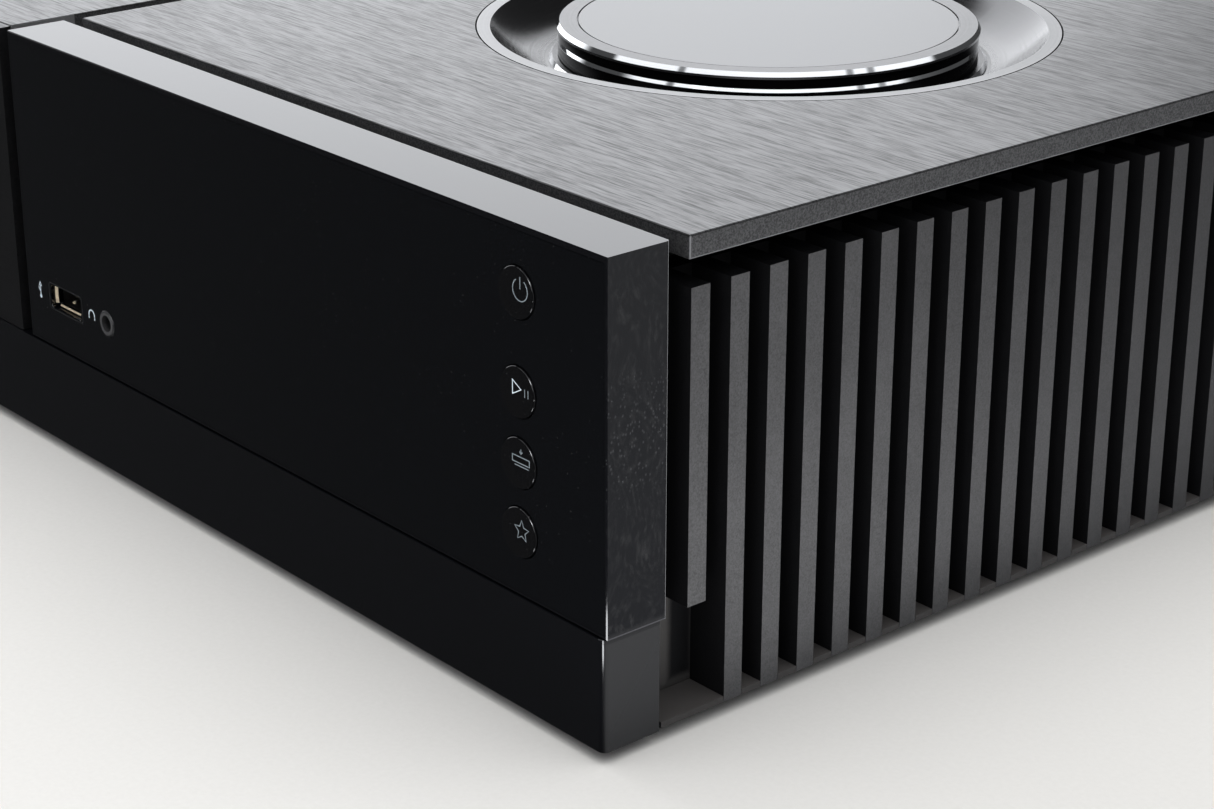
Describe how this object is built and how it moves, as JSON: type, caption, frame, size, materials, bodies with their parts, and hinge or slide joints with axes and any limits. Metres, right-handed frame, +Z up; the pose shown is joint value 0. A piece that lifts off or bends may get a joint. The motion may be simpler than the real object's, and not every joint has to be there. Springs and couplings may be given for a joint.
{
  "type": "cd player",
  "caption": "Low, wide audio box with a disc drawer, side heatsinks, glass display block with round keys and a large flush dial on top.",
  "frame": {"origin": "on the resting surface, under the centre of the bounding box", "axes": "+X to the right of the front, +Y to the back, +Z up"},
  "size_m": [0.432, 0.265, 0.095],
  "materials": {
    "sheet_black": "satin black paint on sheet steel",
    "gloss_black": "polished gloss black",
    "brushed_black": "black anodised, brushed along X",
    "brushed_grey": "grey anodised, brushed along X",
    "front_glass": "black backed glass-like sheet",
    "screen": "dark screen",
    "sink_black": "fine blasted black anodised",
    "rubber_black": "matt",
    "screw_steel": "plain",
    "polished_aluminium": "polished",
    "dish_aluminium": "turned, fine satin",
    "printed_grey": "printed marking",
    "socket_red": "moulded",
    "socket_white": "moulded",
    "satin_aluminium": "fine satin",
    "smoked_acrylic": "polished",
    "machined_aluminium": "turned",
    "brass_bush": "turned",
    "black_plastic": "moulded",
    "button_black": "polished with printed icon",
    "circuit_green": "solder mask",
    "contact_gold": "plated",
    "jack_metal": "dark plated",
    "gear_plastic": "natural acetal",
    "motor_steel": "zinc plated",
    "lens_glass": "coated lens",
    "copper_wrap": "taped winding",
    "transistor_black": "moulded package"
  },
  "bodies": {
    "case": {"amplifier_board": "circuit_green", "base_fascia": "gloss_black", "bottom_tray": "sheet_black", "button_board": "circuit_green", "case_screws": "screw_steel", "chassis_lid": "sheet_black", "clamp_bridge": "motor_steel", "dial_base_ring": "polished_aluminium", "dial_bearing": "brass_bush", "dial_dish": "dish_aluminium", "dial_encoder": "black_plastic", "digital_sockets": "black_plastic", "display_glass": "front_glass", "display_housing": "gloss_black", "front_subframe": "sheet_black", "guide_rods": "screw_steel", "headphone_jack": "jack_metal", "lcd_panel": "screen", "left_front_panel": "brushed_black", "left_heatsink": "sink_black", "left_top_cover": "brushed_grey", "loader_frame": "black_plastic", "loading_motor": "motor_steel", "main_board": "circuit_green", "mains_inlet": "black_plastic", "phono_sockets": "black_plastic", "power_supply_board": "circuit_green", "power_transformer": "copper_wrap", "power_transistors": "transistor_black", "rear_panel": "sheet_black", "right_heatsink": "sink_black", "right_top_cover": "brushed_grey", "rocker_housing": "black_plastic", "rubber_feet": "rubber_black", "sled_motor": "motor_steel", "speaker_sockets": "black_plastic", "spindle_motor": "motor_steel", "transformer_clamp": "screw_steel", "usb_shell": "contact_gold", "usb_tongue": "black_plastic"},
    "dial": {"dial_shaft": "machined_aluminium", "dial_lower_band": "smoked_acrylic", "dial_mid_ring": "polished_aluminium", "dial_upper_band": "smoked_acrylic", "dial_cap_ring": "polished_aluminium", "dial_cap_disc": "satin_aluminium"},
    "power_key": {"power_button": "button_black"},
    "play_key": {"play_button": "button_black"},
    "input_key": {"input_button": "button_black"},
    "favourite_key": {"favourite_button": "button_black"},
    "drawer": {"disc_tray": "black_plastic", "drawer_front": "brushed_black"},
    "drive_wheel": {"drive_gear": "gear_plastic"},
    "pinion": {"motor_pinion": "gear_plastic"},
    "turntable": {"turntable_hub": "machined_aluminium"},
    "puck": {"clamp_puck": "black_plastic"},
    "sled": {"pickup_sled": "black_plastic", "pickup_lens": "lens_glass"},
    "feed_screw": {"sled_screw": "screw_steel"},
    "rocker": {"mains_rocker": "black_plastic"}
  },
  "joints": [
    {"name": "dial_spin", "type": "hinge", "parent": "case", "child": "dial", "pos_m": [0.118, -0.0027, 0.09], "axis": [0, 0, 1], "continuous": true},
    {"name": "power_press", "type": "slide", "parent": "case", "child": "power_key", "axis": [0, 1, 0], "range_m": [0, 0.0007], "stiffness_N_per_m": 900, "springref_m": -0.0012},
    {"name": "play_press", "type": "slide", "parent": "case", "child": "play_key", "axis": [0, 1, 0], "range_m": [0, 0.0007], "stiffness_N_per_m": 900, "springref_m": -0.0012},
    {"name": "input_press", "type": "slide", "parent": "case", "child": "input_key", "axis": [0, 1, 0], "range_m": [0, 0.0007], "stiffness_N_per_m": 900, "springref_m": -0.0012},
    {"name": "favourite_press", "type": "slide", "parent": "case", "child": "favourite_key", "axis": [0, 1, 0], "range_m": [0, 0.0007], "stiffness_N_per_m": 900, "springref_m": -0.0012},
    {"name": "drawer_slide", "type": "slide", "parent": "case", "child": "drawer", "axis": [0, -1, 0], "range_m": [0, 0.134]},
    {"name": "drive_gear_spin", "type": "hinge", "parent": "case", "child": "drive_wheel", "pos_m": [-0.031, -0.101, 0.048], "axis": [0, 0, 1], "range_deg": [0, 960.7]},
    {"name": "motor_pinion_spin", "type": "hinge", "parent": "case", "child": "pinion", "pos_m": [-0.031, -0.0826, 0.046], "axis": [0, 0, 1], "range_deg": [-2194.61, 0]},
    {"name": "spindle_spin", "type": "hinge", "parent": "case", "child": "turntable", "pos_m": [-0.1, -0.061, 0.054], "axis": [0, 0, 1], "continuous": true},
    {"name": "puck_spin", "type": "hinge", "parent": "case", "child": "puck", "pos_m": [-0.1, -0.061, 0.064], "axis": [0, 0, 1], "continuous": true},
    {"name": "sled_slide", "type": "slide", "parent": "case", "child": "sled", "axis": [0, 1, 0], "range_m": [0, 0.036]},
    {"name": "feed_screw_spin", "type": "hinge", "parent": "case", "child": "feed_screw", "pos_m": [-0.136, 0, 0.045], "axis": [0, 1, 0], "range_deg": [0, 4321]},
    {"name": "mains_rocker_tilt", "type": "hinge", "parent": "case", "child": "rocker", "pos_m": [0.182, 0.122, 0.032], "axis": [1, 0, 0], "range_deg": [0, 16]}
  ],
  "couplings": [
    {"joint": "drive_gear_spin", "follows": "drawer_slide", "rad_per_m": 125},
    {"joint": "motor_pinion_spin", "follows": "drawer_slide", "rad_per_m": -285.71},
    {"joint": "puck_spin", "follows": "spindle_spin", "ratio": 1},
    {"joint": "feed_screw_spin", "follows": "sled_slide", "rad_per_m": 2094.4}
  ]
}
